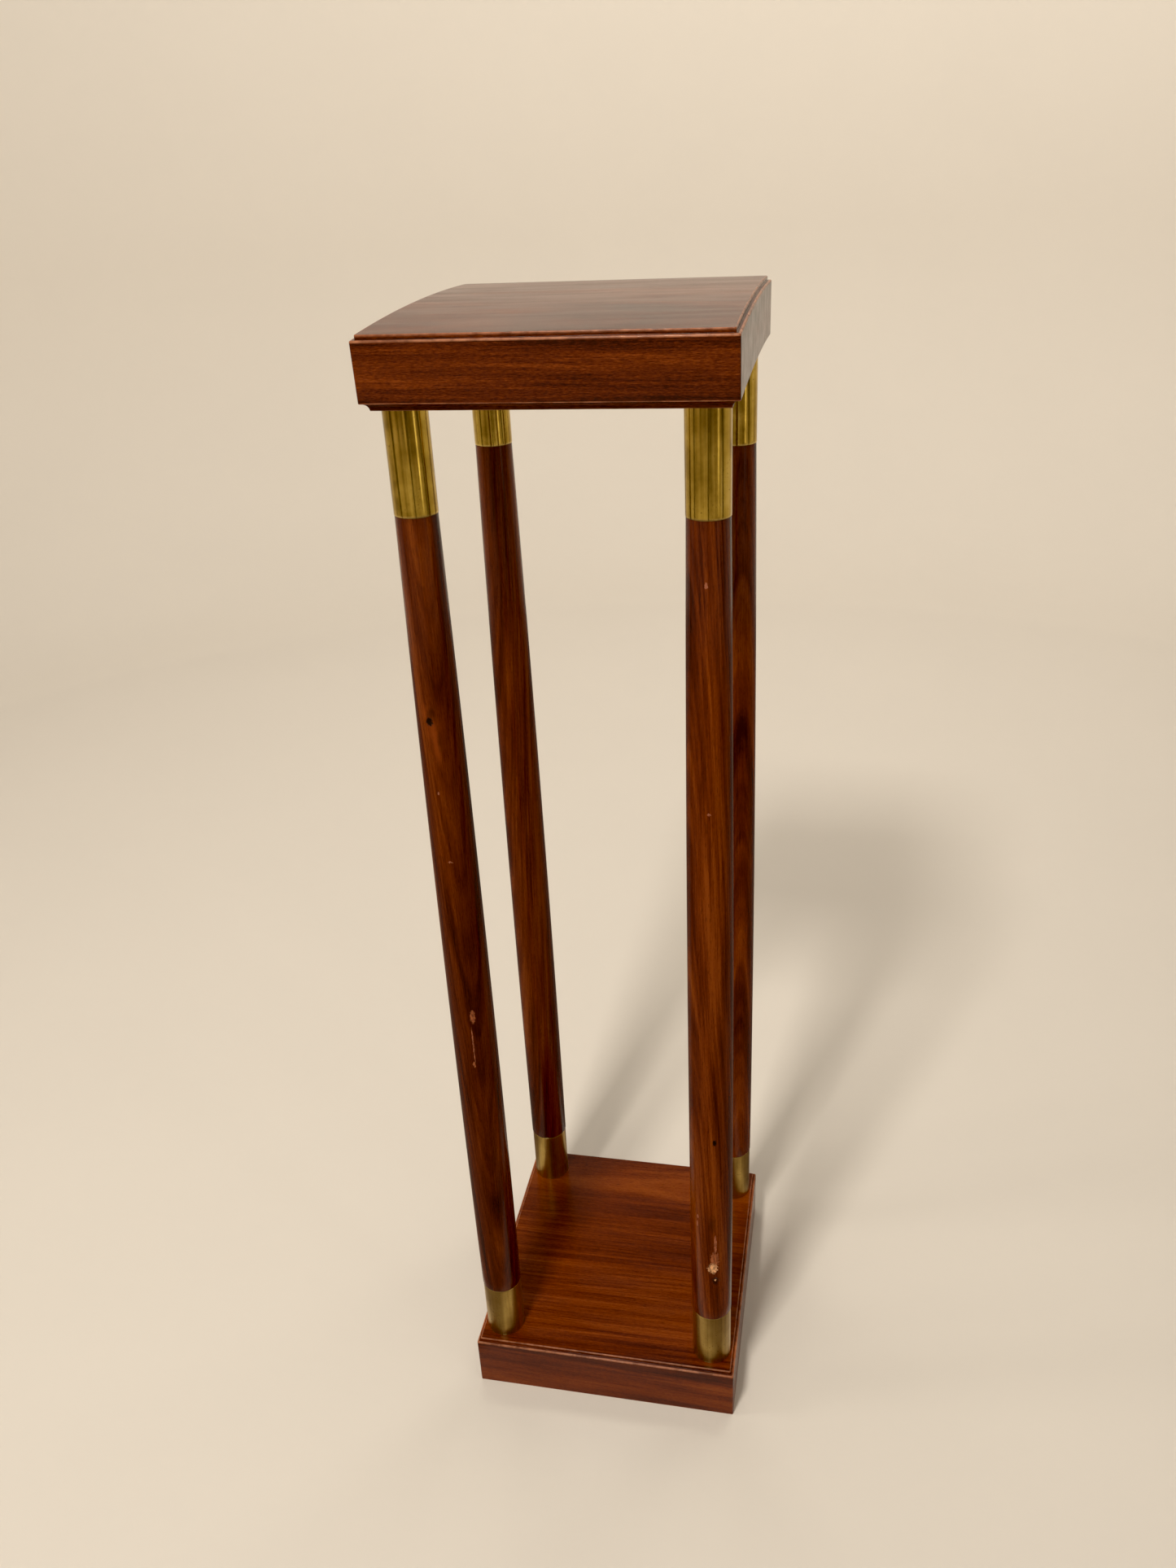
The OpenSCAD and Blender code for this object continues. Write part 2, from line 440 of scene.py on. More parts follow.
def build_top_board():
    """The arched top board: stepped above, coved below, with a flat seat for every ferrule."""
    low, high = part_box("top_board")
    half_depth = (high.y - low.y) / 2
    arch_r = (half_depth**2 + ARCH_RISE**2) / (2 * ARCH_RISE)
    axis_z = high.z - arch_r
    under_r = arch_r - TOP_T
    ledge_r = arch_r - STEP_H
    end_angle = math.asin(half_depth / ledge_r)

    def bend(x, y, height):
        """Bends the flat board about the arch's axis; near its end faces an inset keeps its length."""
        radius = under_r + height
        inset = half_depth - abs(y)
        if inset > half_depth / 2:
            turn = y / half_depth * end_angle
        else:
            turn = math.copysign(end_angle - inset / radius, y)
        return Vector((x, radius * math.sin(turn), axis_z + radius * math.cos(turn)))

    board = Board((high.x - low.x) / 2, half_depth, bend)
    profile = [(i, h, w, round_corner(i)) for i, h, w in step_profile(TOP_T)]
    profile += cove_profile()
    piece = board.build("wood_top_board", profile)
    cut(piece, [seat_cutter(name) for name in POSTS])
    weigh_normals(piece)
    return piece


# ---- Turned parts ----


def post_radius(fraction):
    """Radius of the wood at a fraction of the height between its shoulders."""
    taper = POST_BOTTOM_DIA * (1 - fraction) + POST_TOP_DIA * fraction
    return (taper + POST_SWELL * 4 * fraction * (1 - fraction)) / 2


def wood_levels(name):
    """The heights between which a post's wood shows."""
    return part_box("lower_ferrule_" + name)[1].z + SHADOW_GAP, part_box("upper_ferrule_" + name)[0].z


def post_marks(name):
    """The marks of one post, each with its place on the surface."""
    low, high = wood_levels(name)
    marks = []
    for kind, level, bearing, width, height, depth in POST_MARKS.get(name, ()):
        radius = post_radius((level * MM - low) / (high - low))
        turn = math.radians(bearing)
        place = post_centre(name) + Vector((radius * math.cos(turn), radius * math.sin(turn), level * MM))
        marks.append(Mark(kind, place, turn, radius, width * MM, height * MM, depth * MM))
    return marks


def dents(marks):
    """How far the dented marks lower a post's surface, as a function of bearing and height."""
    deep = [mark for mark in marks if mark.depth]

    def lowered(turn, height):
        total = 0.0
        for mark in deep:
            swing = (turn - mark.turn + HALF_TURN) % FULL_TURN - HALF_TURN
            reach = math.hypot(swing * mark.radius / mark.width, (height - mark.place.z) / mark.height)
            if reach < 1:
                total = max(total, mark.depth * (1 - reach**2) ** 0.7)
        return -total

    return lowered


def body_levels(body_low, body_high, marks):
    """Heights of the rings between a post's shoulders, closer together over the dented marks."""
    levels = [body_low + (body_high - body_low) * k / POST_STEPS for k in range(1, POST_STEPS)]
    for mark in marks:
        if mark.depth:
            reach = 1.2 * mark.height / DENT_STEP
            levels += [mark.place.z + DENT_STEP * k for k in range(int(-reach), int(reach) + 1)]
    kept = []
    last = body_low
    for level in sorted(levels):
        if level - last > MIN_RING_GAP:
            kept.append(level)
            last = level
    return kept


def build_post(name, marks):
    """A turned post with its tenons, its reduced ends inside the ferrules, and its dents."""
    low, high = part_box("post_" + name)
    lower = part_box("lower_ferrule_" + name)
    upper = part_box("upper_ferrule_" + name)
    base_top, seat = lower[0].z, upper[1].z
    wood_low, wood_high = wood_levels(name)
    lower_core = (lower[1].x - lower[0].x) / 2 - FERRULE_WALL - GLUE_GAP
    upper_core = (upper[1].x - upper[0].x) / 2 - FERRULE_WALL - GLUE_GAP
    bore_top = COUNTERBORE_DEPTH + SCREW_LENGTH
    profile = [
        (0, bore_top, 0),
        (SCREW_DIA / 2, bore_top, 0),
        (SCREW_DIA / 2, low.z, 0),
        (TENON_R - TENON_EASE, low.z, 0),
        (TENON_R, low.z + TENON_EASE, 0),
        (TENON_R, base_top, 0),
        (lower_core, base_top, 0),
        # Set below 0 here: painted shade on the shoulder just above the lower ferrule.
        (lower_core, wood_low, -1),
    ]
    shoulder_r = post_radius(0)
    for t in arc(4, -90, 0):
        radius = shoulder_r - SHOULDER_EASE * (1 - math.cos(t))
        profile.append((radius, wood_low + SHOULDER_EASE * (1 + math.sin(t)), 0))
    body_low = wood_low + SHOULDER_EASE
    for level in body_levels(body_low, wood_high, marks):
        profile.append((post_radius((level - body_low) / (wood_high - body_low)), level, 0))
    profile += [
        # Set below 0 here: painted shade where the wood meets the upper ferrule.
        (post_radius(1), wood_high, -0.6),
        (upper_core, wood_high, 0),
        (upper_core, seat, 0),
        (TENON_R, seat, 0),
        (TENON_R, high.z - TENON_EASE, 0),
        (TENON_R - TENON_EASE, high.z, 0),
        (0, high.z, 0),
    ]
    return lathe("wood_post_" + name, profile, post_centre(name), POST_SIDES, wobble=dents(marks))


def build_ferrule(level, name, seed):
    """A drawn brass tube with eased rims and the faint waviness of thin, polished tube."""
    low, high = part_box(f"{level}_ferrule_{name}")
    outer = (high.x - low.x) / 2
    inner = outer - FERRULE_WALL
    rng = random.Random(seed)
    waves = [(rng.choice((2, 3, 5)), rng.uniform(0, 6.3), rng.uniform(15, 60)) for _ in range(4)]

    def wobble(turn, height):
        total = sum(math.sin(n * turn + phase + height * pitch) for n, phase, pitch in waves)
        return -TUBE_WAVE * (1 + total / len(waves))

    profile = [(inner, low.z + RIM_EASE, 0), (inner + RIM_EASE, low.z, 0.4)]
    for t in arc(4, -90, 0):
        profile.append((outer - RIM_EASE * (1 - math.cos(t)), low.z + RIM_EASE * (1 + math.sin(t)), 1.0))
    for k in range(1, FERRULE_STEPS):
        height = low.z + RIM_EASE + (high.z - low.z - 2 * RIM_EASE) * k / FERRULE_STEPS
        profile.append((outer, height, 0))
    for t in arc(4, 0, 90):
        profile.append((outer - RIM_EASE * (1 - math.cos(t)), high.z - RIM_EASE * (1 - math.sin(t)), 1.0))
    profile += [(inner + RIM_EASE, high.z, 0.4), (inner, high.z - RIM_EASE, 0)]
    piece_name = f"brass_{level}_ferrule_{name}"
    return lathe(piece_name, profile, post_centre(name), FERRULE_SIDES, closed=True, wobble=wobble)


def join(name, pieces):
    """Joins several objects into one named piece."""
    bm = bmesh.new()
    for piece in pieces:
        bm.from_mesh(piece.data)
        bpy.data.objects.remove(piece)
    mesh = bpy.data.meshes.new(name)
    bm.to_mesh(mesh)
    bm.free()
    mesh.set_sharp_from_angle(angle=math.radians(35))
    joined = bpy.data.objects.new(name, mesh)
    bpy.context.scene.collection.objects.link(joined)
    return joined


def build_screw(name, turn):
    """A slotted wood screw, head down: a domed head, a shank and a point."""
    low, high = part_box("base_screws")
    centre = post_centre(name)
    face = low.z + SCREW_HEAD_H
    shank_r = SCREW_DIA / 2 - SCREW_SHANK_PLAY
    dome_h = 1.5 * MM
    ease = 0.2 * MM
    profile = [(0, low.z, 0.5)]
    for t in arc(6, 8, 80):
        profile.append((SCREW_HEAD_R * math.sin(t) * 0.98, low.z + dome_h * (1 - math.cos(t)), 0.5))
    profile += [
        (SCREW_HEAD_R, low.z + 1.6 * MM, 0.8),
        (SCREW_HEAD_R, face - ease, 0.8),
        (SCREW_HEAD_R - ease, face, 0),
        (shank_r, face, 0),
        (shank_r, high.z - SCREW_POINT_H, 0),
        (0.5 * MM, high.z - ease, 0),
        (0, high.z, 0),
    ]
    screw = lathe("screw_" + name, profile, centre, segments=48)
    slot = bmesh.new()
    bmesh.ops.create_cube(slot, size=1)
    size = Matrix.Diagonal((4 * SCREW_HEAD_R, SLOT_W, 2 * SLOT_DEPTH, 1))
    place = Matrix.Translation((centre.x, centre.y, low.z))
    slot.transform(place @ Matrix.Rotation(turn, 4, "Z") @ size)
    cut(screw, [make_object("slot", slot)])
    return screw


def build_screws():
    """The four screws, each with its slot at its own angle."""
    slot_turns = (0.3, 1.2, 2.1, 2.8)
    return join("steel_base_screws", [build_screw(name, turn) for name, turn in zip(POSTS, slot_turns)])


def build_washer(name):
    """A flat washer with eased edges."""
    low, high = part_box("base_washers")
    inner = SCREW_DIA / 2 + WASHER_PLAY
    outer = WASHER_R
    ease = WASHER_EASE
    profile = [
        (inner, low.z + ease, 0),
        (inner + ease, low.z, 0),
        (outer - ease, low.z, 0.5),
        (outer, low.z + ease, 0.8),
        (outer, high.z - ease, 0.5),
        (outer - ease, high.z, 0),
        (inner + ease, high.z, 0),
        (inner, high.z - ease, 0),
    ]
    return lathe("washer_" + name, profile, post_centre(name), segments=64, closed=True)


def build_washers():
    """The four washers, one under each screw head."""
    return join("steel_base_washers", [build_washer(name) for name in POSTS])


# ---- Materials ----


class Graph:
    """Adds nodes to one material and links them."""

    def __init__(self, name):
        self.material = bpy.data.materials.new(name)
        self.material.use_nodes = True
        self.tree = self.material.node_tree
        self.tree.nodes.clear()

    def add(self, kind, sockets=None, **settings):
        """A node with its settings; a socket takes a link or a plain value."""
        node = self.tree.nodes.new("ShaderNode" + kind)
        for key, value in settings.items():
            setattr(node, key, value)
        for key, value in (sockets or {}).items():
            if isinstance(value, bpy.types.NodeSocket):
                self.tree.links.new(value, node.inputs[key])
            else:
                node.inputs[key].default_value = value
        return node

    def math(self, operation, a, b=0.0, clamp=False):
        return self.add("Math", {0: a, 1: b}, operation=operation, use_clamp=clamp).outputs[0]

    def vector(self, operation, a, b=(0.0, 0.0, 0.0)):
        node = self.add("VectorMath", {0: a, 1: b}, operation=operation)
        return node.outputs["Value"] if operation == "LENGTH" else node.outputs["Vector"]

    def noise(self, vector, scale=1.0, detail=2.0, roughness=0.5, output="Fac"):
        sockets = {"Vector": vector, "Scale": scale, "Detail": detail, "Roughness": roughness}
        return self.add("TexNoise", sockets).outputs[output]

    def span(self, value, low, high, to_low=0.0, to_high=1.0):
        """Maps low..high to to_low..to_high with a smooth step."""
        sockets = {0: value, 1: low, 2: high, 3: to_low, 4: to_high}
        return self.add("MapRange", sockets, interpolation_type="SMOOTHSTEP").outputs[0]

    def ramp(self, value, stops):
        """A colour ramp through stops, each a position and a linear colour."""
        node = self.add("ValToRGB", {0: value})
        elements = node.color_ramp.elements
        elements[0].position, elements[1].position = stops[0][0], stops[-1][0]
        elements[0].color, elements[1].color = (*stops[0][1], 1), (*stops[-1][1], 1)
        for position, colour in stops[1:-1]:
            elements.new(position).color = (*colour, 1)
        return node.outputs["Color"]

    def mix(self, factor, a, b, blend="MIX"):
        a = a if isinstance(a, bpy.types.NodeSocket) else (*a, 1)
        b = b if isinstance(b, bpy.types.NodeSocket) else (*b, 1)
        node = self.add("Mix", {0: factor, 6: a, 7: b}, data_type="RGBA", blend_type=blend)
        return node.outputs[2]

    def finish(self, colour, roughness, height, bump_distance, **sockets):
        """Links the surface shader and gives back the finished material."""
        bump = self.add("Bump", {"Height": height, "Distance": bump_distance, "Strength": 1.0})
        values = {"Base Color": colour, "Roughness": roughness, "Normal": bump.outputs["Normal"]}
        values.update(sockets)
        shader = self.add("BsdfPrincipled", values)
        output = self.add("OutputMaterial")
        self.tree.links.new(shader.outputs[0], output.inputs["Surface"])
        return self.material

    def frame(self, centre, grain):
        """Object coordinates from centre, with the third axis along the grain."""
        place = self.add("TexCoord").outputs["Object"]
        local = self.vector("SUBTRACT", place, tuple(centre))
        axes = self.add("SeparateXYZ", {0: local}).outputs
        order = {"Z": (0, 1, 2), "X": (1, 2, 0)}[grain]
        cross = {index: axes[axis] for index, axis in enumerate(order)}
        return self.add("CombineXYZ", cross).outputs[0]

    def stretched(self, vector, across, along):
        """Scales a vector across the grain and along it."""
        return self.vector("MULTIPLY", vector, (across, across, along))

    def wear_and_painted_light(self):
        """The edge value stored on the mesh: above 0 rubbed wear with a painted highlight, below 0 painted
        shade.
        """
        return self.add("Attribute", attribute_name="wear_and_painted_light").outputs["Fac"]


def lin(red, green, blue):
    """Linear colour from 0-255 display values."""

    def channel(value):
        value /= 255
        return value / 12.92 if value <= 0.04045 else ((value + 0.055) / 1.055) ** 2.4

    return tuple(channel(v) for v in (red, green, blue))


# Height in metres at which a post's painted shade along its height neither darkens nor lightens it
HEIGHT_SHADE_LEVEL = 0.5
# Each kind of mark: its colour, and how much of the wood it covers
MARK_TINTS = {
    "glow": (lin(142, 66, 20), 0.4),
    "shade": (lin(30, 10, 4), 0.5),
    "nick": (lin(176, 112, 82), 0.5),
    "scratch": (lin(186, 112, 76), 0.75),
    "scuff": (lin(170, 96, 56), 0.85),
    # The pale bare tint serves the bare wood of the chip and also a painted glint in the bruise.
    "bare_wood_and_glint": (lin(232, 174, 124), 1.0),
    "bruise": (lin(36, 12, 6), 0.7),
    "knot": (lin(14, 6, 3), 0.95),
}
SOFT_MARKS = ("glow", "shade")


def near(g, mark):
    """1 over a mark and 0 outside it: soft for marks in the wood, ragged and broken for damage."""
    place = g.add("TexCoord").outputs["Object"]
    soft = mark.kind in SOFT_MARKS
    scale = 160 if soft else 560
    ragged = g.noise(place, scale=scale, detail=3.0, roughness=0.65, output="Color")
    shake = ((1.0 if soft else 2.2) * mark.width,) * 3
    shaken = g.vector("MULTIPLY", g.vector("SUBTRACT", ragged, (0.5, 0.5, 0.5)), shake)
    offset = g.vector("SUBTRACT", g.vector("ADD", place, shaken), tuple(mark.place))
    scaled = g.vector("MULTIPLY", offset, (1 / mark.width, 1 / mark.width, 1 / mark.height))
    return g.span(g.vector("LENGTH", scaled), 1.1, 0.1 if soft else 0.75)


def show_marks(g, colour, roughness, marks):
    """Draws the knots, scuffs and chips of one post over its colour and roughness."""
    for mark in marks:
        tint, strength = MARK_TINTS[mark.kind]
        core = g.math("MULTIPLY", near(g, mark), strength)
        if mark.kind in ("scuff", "bare_wood_and_glint", "scratch"):
            place = g.add("TexCoord").outputs["Object"]
            torn = g.noise(g.stretched(place, 520, 200), detail=3.0, roughness=0.6)
            core = g.math("MULTIPLY", core, g.span(torn, 0.36, 0.5, 0.5, 1.0))
            tint = g.mix(g.span(torn, 0.45, 0.62), tuple(0.55 * c for c in tint), tint)
        colour = g.mix(core, colour, tint)
        if mark.kind not in SOFT_MARKS:
            roughness = g.math("ADD", roughness, g.math("MULTIPLY", core, 0.3))
    return colour, roughness


def wood(name, centre, grain, pith, lean, seed, tones, figure, marks=()):
    """Polished mahogany: growth bands round a pith line, ribbon tones, flecks, pores, rubbed lacquer with a
    painted highlight along the arrises, and painted shade in recesses and joints.

    figure gives the bands per metre and how much each layer weighs. Its height entry paints shade along a
    post: above 0 it darkens the wood with height, below 0 towards the bottom; and a heart darkens a board's
    upright faces above and below their paler middle.
    """
    g = Graph(name)
    local = g.frame(centre, grain)
    place = g.vector("ADD", local, (0.0, 0.0, seed * 3.7))
    sway = g.noise(g.stretched(place, 11, 1.6), detail=2.0, output="Color")
    sway = g.vector("MULTIPLY", g.vector("SUBTRACT", sway, (0.5, 0.5, 0.5)), (0.014, 0.014, 0.0))
    wandering = g.vector("ADD", place, sway)
    to_pith = {"Vector": wandering, "Location": (-pith[0], -pith[1], 0), "Rotation": (*lean, 0)}
    leaned = g.add("Mapping", to_pith)
    along = g.add("SeparateXYZ", {0: place}).outputs[2]
    distance = g.vector("LENGTH", g.vector("MULTIPLY", leaned.outputs[0], (1.0, 1.0, 0.0)))
    rings = g.math("MULTIPLY", distance, figure["bands"])
    growth = g.add("CombineXYZ", {0: rings, 1: g.math("MULTIPLY", along, 2.6), 2: seed}).outputs[0]
    layers = {
        "band": g.noise(growth, detail=2.5, roughness=0.55),
        "line": g.noise(g.stretched(growth, 4.5, 4.5), detail=2.0),
        "tone": g.noise(g.stretched(wandering, 24, 2.2), detail=2.0),
        "fleck": g.noise(g.stretched(place, 1300, 280), detail=2.0, roughness=0.6),
        "fibre": g.noise(g.stretched(place, 1200, 20), detail=2.0, roughness=0.6),
    }
    level = g.add("SeparateXYZ", {0: local}).outputs[2]
    # Painted shade along a post's height: darker towards the top when above 0, towards the bottom when
    # below 0.
    value = g.math("MULTIPLY", g.math("SUBTRACT", HEIGHT_SHADE_LEVEL, level), figure.get("height_shade", 0.0))
    value = g.math("ADD", value, 0.5)
    if "heart" in figure:
        depth = g.math("ABSOLUTE", g.add("SeparateXYZ", {0: wandering}).outputs[1])
        outer = g.math("SUBTRACT", g.span(depth, 5 * MM, 20 * MM), g.span(depth, 23 * MM, 28 * MM))
        value = g.math("SUBTRACT", value, g.math("MULTIPLY", outer, figure["heart"]))
    for layer, noise in layers.items():
        value = g.math("ADD", value, g.math("MULTIPLY", g.math("SUBTRACT", noise, 0.5), figure[layer]))
    colour = g.ramp(value, tones)
    pores = g.span(g.noise(g.stretched(place, 1500, 130), detail=1.0), 0.58, 0.7)
    colour = g.mix(g.math("MULTIPLY", pores, 0.4), colour, lin(34, 9, 2))
    wear_and_painted_light = g.wear_and_painted_light()
    # Rubbed edges: partly real wear and partly a painted highlight along the arrises and the riser,
    # lightened towards a pale pink tint.
    chafe = g.noise(place, scale=70, detail=4.0, roughness=0.6)
    rubbed_and_highlight = g.math("MULTIPLY", g.span(wear_and_painted_light, 0.15, 0.9), g.span(chafe, 0.35, 0.65, 0.35, 1.0))
    colour = g.mix(g.math("MULTIPLY", rubbed_and_highlight, 0.55), colour, lin(200, 132, 92))
    # Painted shade: below 0 the wood darkens towards a deep brown in recesses and joints.
    recess_shade = g.span(wear_and_painted_light, -0.1, -0.9)
    colour = g.mix(g.math("MULTIPLY", recess_shade, 0.25), colour, lin(30, 9, 3))
    smudge = g.noise(g.stretched(place, 60, 9), detail=2.0)
    roughness = g.span(smudge, 0.3, 0.7, 0.2, 0.27)
    roughness = g.math("ADD", roughness, g.math("MULTIPLY", rubbed_and_highlight, 0.08))
    colour, roughness = show_marks(g, colour, roughness, marks)
    height = g.math("ADD", g.math("MULTIPLY", pores, -0.5), g.math("MULTIPLY", layers["fibre"], 0.4))
    return g.finish(
        colour, roughness, height, 0.016 * MM,
        **{"Specular IOR Level": 0.16, "Coat Weight": 0.06, "Coat Roughness": 0.08, "Coat IOR": 1.45},
    )


BRIGHT_BRASS_TONES = [
    (0.32, lin(116, 92, 32)),
    (0.44, lin(164, 134, 54)),
    (0.55, lin(198, 166, 74)),
    (0.7, lin(224, 194, 104)),
]
DULL_BRASS_TONES = [
    (0.32, lin(138, 110, 58)),
    (0.45, lin(170, 140, 76)),
    (0.6, lin(192, 162, 92)),
    (0.75, lin(206, 178, 108)),
]


def brass(name, centre, bright, seed):
    """Drawn brass standing on centre: streaks along it, tarnish spots, handling marks and bright rims."""
    g = Graph(name)
    place = g.vector("ADD", g.frame(centre, "Z"), (0.0, 0.0, seed * 1.3))
    streaks = g.noise(g.stretched(place, 230, 3.5), detail=4.0, roughness=0.6)
    cloud = g.noise(place, scale=46, detail=3.0, roughness=0.6)
    spots = g.span(g.noise(place, scale=520, detail=2.0), 0.62, 0.74)
    value = g.math("ADD", g.math("MULTIPLY", streaks, 0.6), g.math("MULTIPLY", cloud, 0.4))
    colour = g.ramp(value, BRIGHT_BRASS_TONES if bright else DULL_BRASS_TONES)
    level = g.add("SeparateXYZ", {0: g.frame(centre, "Z")}).outputs[2]
    handled = g.math("MULTIPLY", g.span(level, 0.028, 0.004), 0.5)
    patch = g.math("ADD", g.span(cloud, 0.45, 0.62), handled, clamp=True)
    colour = g.mix(g.math("MULTIPLY", spots, g.math("MULTIPLY", patch, 0.7)), colour, lin(70, 46, 20))
    wear_and_painted_light = g.wear_and_painted_light()
    rim = 0.6 if bright else 0.25
    colour = g.mix(g.math("MULTIPLY", g.span(wear_and_painted_light, 0.2, 1.0), rim), colour, lin(232, 204, 128))
    low, high = (0.11, 0.19) if bright else (0.28, 0.42)
    roughness = g.span(value, 0.35, 0.65, high, low)
    fine = g.noise(g.stretched(place, 1800, 40), detail=2.0)
    return g.finish(colour, roughness, fine, 0.008 * MM, Metallic=1.0)


def steel(name):
    """Zinc-plated steel gone dull."""
    g = Graph(name)
    place = g.add("TexCoord").outputs["Object"]
    cloud = g.noise(place, scale=300, detail=4.0, roughness=0.6)
    tones = [(0.3, lin(112, 108, 100)), (0.55, lin(160, 158, 152)), (0.75, lin(186, 184, 178))]
    colour = g.ramp(cloud, tones)
    roughness = g.span(cloud, 0.3, 0.7, 0.5, 0.32)
    return g.finish(colour, roughness, g.noise(place, scale=900), 0.02 * MM, Metallic=1.0)


def pale_surface(name, colour):
    """A plain matt studio surface with only a breath of unevenness."""
    g = Graph(name)
    place = g.add("TexCoord").outputs["Object"]
    cloud = g.noise(place, scale=3.0, detail=3.0)
    dark = tuple(0.97 * c for c in colour)
    shade = g.mix(cloud, dark, colour)
    return g.finish(shade, 0.8, g.noise(place, scale=60, detail=3.0), 0.2 * MM)


# ---- The pedestal ----

BASE_TONES = [
    (0.28, lin(54, 17, 6)),
    (0.42, lin(84, 31, 8)),
    (0.54, lin(106, 44, 10)),
    (0.70, lin(130, 62, 18)),
]
TOP_TONES = [
    (0.28, lin(42, 14, 5)),
    (0.42, lin(72, 26, 7)),
    (0.54, lin(94, 39, 9)),
    (0.70, lin(122, 58, 16)),
]
POST_TONES = [
    (0.25, lin(40, 12, 4)),
    (0.42, lin(74, 26, 7)),
    (0.56, lin(98, 40, 9)),
    (0.72, lin(124, 59, 16)),
]
BASE_FIGURE = {"bands": 190, "band": 0.50, "line": 0.36, "tone": 0.40, "fleck": 0.28, "fibre": 0.18}
TOP_FIGURE = {
    "bands": 130, "band": 0.55, "line": 0.34, "tone": 0.25, "fleck": 0.55, "fibre": 0.24, "heart": 0.11
}
POST_FIGURE = {"bands": 125, "band": 0.80, "line": 0.50, "tone": 0.45, "fleck": 0.20, "fibre": 0.34}
# Each post's tones scaled darker or lighter: partly its own tone, partly painted light and shade.
POST_TONE_AND_LIGHT_SCALES = (0.77, 0.93, 0.82, 1.05)
# Painted shade along each post's height: above 0 darker towards the top, below 0 darker towards the bottom.
POST_HEIGHT_SHADES = (0.0, 0.05, -0.2, 0.0)
POST_SEEDS = (9.0, 6.0, 7.0, 8.0)
POST_PITHS = ((0.05, 0.07), (-0.06, 0.05), (0.07, -0.04), (-0.03, -0.08))
POST_LEANS = ((0.040, 0.022), (-0.026, 0.038), (0.030, -0.034), (-0.036, -0.020))
BASE_MIDDLE = (0, 0, 0.02)
TOP_MIDDLE = (0, 0, 1.083)


def dress(piece, material, slot, *nodes):
    """Gives a piece its material, its body and the CAD nodes it stands for; the slot is not used."""
    piece.data.materials.clear()
    piece.data.materials.append(material)
    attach(piece, "root")
    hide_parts(*nodes)


def post_wood(index, name, marks):
    """The wood of one post, with its tones scaled darker or lighter, partly as its own tone and partly as
    painted light and shade, and its growth rings and marks.
    """
    tones = [(stop, tuple(POST_TONE_AND_LIGHT_SCALES[index] * c for c in colour)) for stop, colour in POST_TONES]
    figure = dict(POST_FIGURE, height_shade=POST_HEIGHT_SHADES[index])
    pith, lean, seed = POST_PITHS[index], POST_LEANS[index], POST_SEEDS[index]
    material_name = "mahogany_post_" + name
    return wood(material_name, post_centre(name), "Z", pith, lean, seed, tones, figure, marks)


def build_boards():
    """The two boards, with their grain left to right."""
    base_wood = wood(
        "mahogany_base", BASE_MIDDLE, "X", (0.03, -0.11), (0.012, -0.02), 1.0, BASE_TONES, BASE_FIGURE
    )
    dress(build_base_board(), base_wood, "board_wood", "base_board")
    top_wood = wood(
        "mahogany_top", TOP_MIDDLE, "X", (-0.02, -0.14), (-0.015, 0.01), 2.0, TOP_TONES, TOP_FIGURE
    )
    dress(build_top_board(), top_wood, "board_wood", "top_board")


def build_pedestal():
    """Every piece in place of its CAD node."""
    build_boards()
    for index, name in enumerate(POSTS):
        marks = post_marks(name)
        material = post_wood(index, name, marks)
        dress(build_post(name, marks), material, "post_wood", "post_" + name)
        for level, bright in (("upper", True), ("lower", False)):
            seed = 11 + 2 * index + bright
            centre = post_centre(name)
            foot = Vector((centre.x, centre.y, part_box(f"{level}_ferrule_{name}")[0].z))
            material = brass(f"brass_{level}_{name}", foot, bright, float(seed))
            dress(build_ferrule(level, name, seed), material, "brass", f"{level}_ferrule_{name}")
    zinc = steel("dull_zinc")
    dress(build_screws(), zinc, "fixing_steel", "base_screws")
    dress(build_washers(), zinc, "fixing_steel", "base_washers")


# ---- Studio ----

STUDIO_R = 3.4
STUDIO_COVE = 0.9
STUDIO_H = 3.4
CAMERA_PLACE = (0.21978, -1.05079, 1.24453)
CAMERA_YAW = -0.2198
CAMERA_PITCH = 0.4828
CAMERA_ROLL = -0.0539
CAMERA_LENS = 29.37
CAMERA_BLACK = 0.005
WALL_COLOUR = lin(222, 215, 204)


def build_studio():
    """A pale floor that sweeps up into a round wall, open above."""
    profile = [(0, 0, 0), (0.5, 0, 0), (1.2, 0, 0), (STUDIO_R - STUDIO_COVE, 0, 0)]
    for t in arc(12, 0, 90)[1:]:
        reach = STUDIO_R - STUDIO_COVE + STUDIO_COVE * math.sin(t)
        profile.append((reach, STUDIO_COVE * (1 - math.cos(t)), 0))
    profile.append((STUDIO_R, STUDIO_H, 0))
    floor = lathe("studio_floor", profile, Vector((0, 0, 0)), segments=96)
    floor.data.materials.append(pale_surface("studio_pale", WALL_COLOUR))


def room_face(name):
    """The card's face: uneven upright bands, light and dark, like a furnished room out of focus."""
    g = Graph(name)
    place = g.add("TexCoord").outputs["Object"]
    bands = g.noise(g.stretched(place, 1.2, 0.12), detail=2.0, roughness=0.55)
    tones = [
        (0.36, lin(40, 34, 28)),
        (0.47, lin(120, 106, 92)),
        (0.56, lin(186, 172, 154)),
        (0.66, lin(222, 210, 192)),
    ]
    shade = g.ramp(bands, tones)
    return g.finish(shade, 0.9, bands, 0.1 * MM)


def show_to_gloss_only(card, face):
    """Polished parts mirror the card; the camera and the soft light never see it."""
    card.data.materials.append(face)
    card.visible_camera = False
    card.visible_diffuse = False
    card.visible_shadow = False
    card.visible_transmission = False


